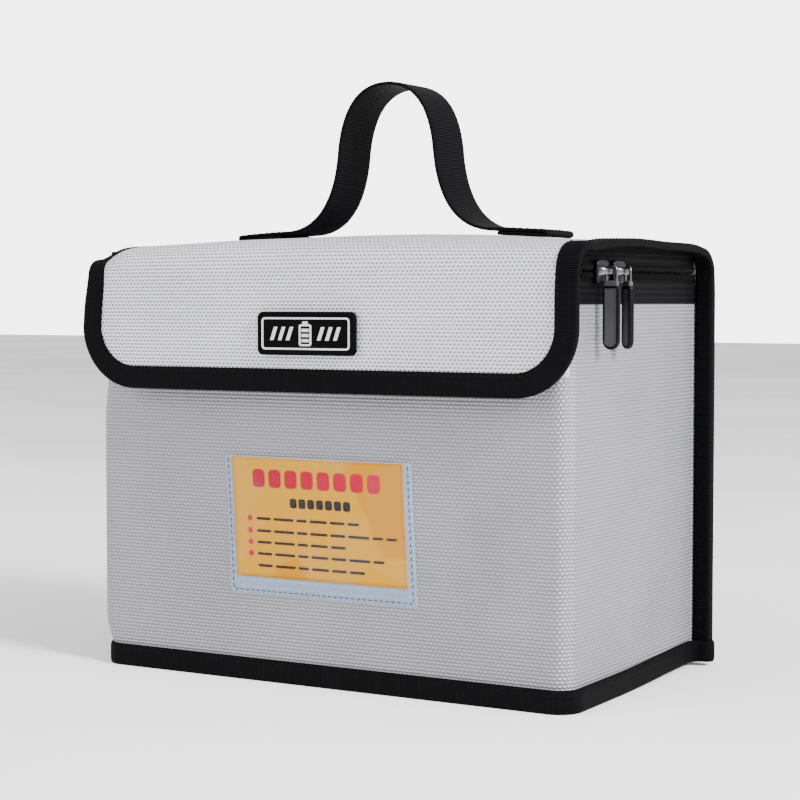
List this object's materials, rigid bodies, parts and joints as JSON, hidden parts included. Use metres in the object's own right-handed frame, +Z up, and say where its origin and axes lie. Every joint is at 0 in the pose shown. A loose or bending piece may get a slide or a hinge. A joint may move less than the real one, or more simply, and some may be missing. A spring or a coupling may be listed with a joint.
{
  "type": "fire-resistant battery storage bag",
  "caption": "Boxy silver cloth bag for storing and charging batteries, with a zipped hinged lid, a hook-and-loop front flap, a webbing handle and a clear card pocket.",
  "frame": {"origin": "centre of the base, on the underside of the bottom panel, midway between the side walls and midway between the front wall and the back panel", "axes": "+X to the side that carries the zip sliders, seen from the front on the right; +Y from the front flap towards the back panel; +Z up"},
  "size_m": [0.2331, 0.1361, 0.243],
  "materials": {
    "silver_cloth": "silver coated glass-fibre cloth with a fine dotted weave, soft sheen",
    "silver_lining": "plain silver coated lining cloth",
    "binding_tape": "black ribbed grosgrain binding tape, matte",
    "zip_tape": "black woven zip tape, matte",
    "zip_coil": "black nylon coil",
    "facing_cloth": "pale silver facing cloth",
    "loop_pile": "soft loop pile",
    "hook_plastic": "woven hook strip",
    "clear_film": "clear glossy PVC film",
    "card_print": "orange-yellow printed card",
    "webbing": "black ribbed polypropylene webbing with a slight sheen",
    "badge_rubber": "soft moulded black rubber",
    "badge_print": "raised pale lines",
    "slider_metal": "dark nickel plated zinc",
    "pull_rubber": "satin dark grey moulded pull"
  },
  "bodies": {
    "body": {"front_side_wrap": "silver_cloth", "back_panel": "silver_cloth", "bottom_panel": "silver_cloth", "body_lining": "silver_lining", "base_binding": "binding_tape", "back_left_binding": "binding_tape", "back_right_binding": "binding_tape", "lower_zipper_tape": "zip_tape", "lower_zipper_coil": "zip_coil", "closure_facing": "facing_cloth", "loop_strip": "loop_pile", "card_pocket": "clear_film", "info_card": "card_print"},
    "lid": {"lid_panel": "silver_cloth", "lid_lining": "silver_lining", "lid_left_binding": "binding_tape", "lid_right_binding": "binding_tape", "upper_zipper_tape": "zip_tape", "upper_zipper_coil": "zip_coil", "handle_left_end": "webbing", "handle_right_end": "webbing"},
    "flap": {"flap_panel": "silver_cloth", "flap_lining": "silver_lining", "flap_binding": "binding_tape", "hook_strip": "hook_plastic", "badge_patch": "badge_rubber", "badge_border": "badge_print", "badge_emblem": "badge_print"},
    "handle": {"handle_strap": "webbing"},
    "front_slider": {"front_slider": "slider_metal"},
    "rear_slider": {"rear_slider": "slider_metal"},
    "front_pull": {"front_pull_link": "slider_metal", "front_pull_tab": "pull_rubber"},
    "rear_pull": {"rear_pull_link": "slider_metal", "rear_pull_tab": "pull_rubber"}
  },
  "joints": [
    {"name": "lid_hinge", "type": "hinge", "parent": "body", "child": "lid", "pos_m": [0, 0.05935, 0.17285], "axis": [-1, 0, 0], "range_deg": [0, 120]},
    {"name": "flap_hinge", "type": "hinge", "parent": "lid", "child": "flap", "pos_m": [0, -0.06799, 0.17299], "axis": [-1, 0, 0], "range_deg": [0, 165]},
    {"name": "handle_tilt", "type": "hinge", "parent": "lid", "child": "handle", "pos_m": [0, 0, 0.1897], "axis": [1, 0, 0], "range_deg": [-40, 40], "stiffness_Nm_per_rad": 0.03},
    {"name": "front_slider_travel", "type": "slide", "parent": "body", "child": "front_slider", "axis": [0, -1, 0], "range_m": [0, 0.0075]},
    {"name": "rear_slider_travel", "type": "slide", "parent": "body", "child": "rear_slider", "axis": [0, 1, 0], "range_m": [0, 0.072]},
    {"name": "front_pull_swing", "type": "hinge", "parent": "front_slider", "child": "front_pull", "pos_m": [0.11415, -0.04, 0.1638], "axis": [0, -1, 0], "range_deg": [0, 130]},
    {"name": "rear_pull_swing", "type": "hinge", "parent": "rear_slider", "child": "rear_pull", "pos_m": [0.11415, -0.025, 0.1638], "axis": [0, -1, 0], "range_deg": [0, 130]}
  ]
}
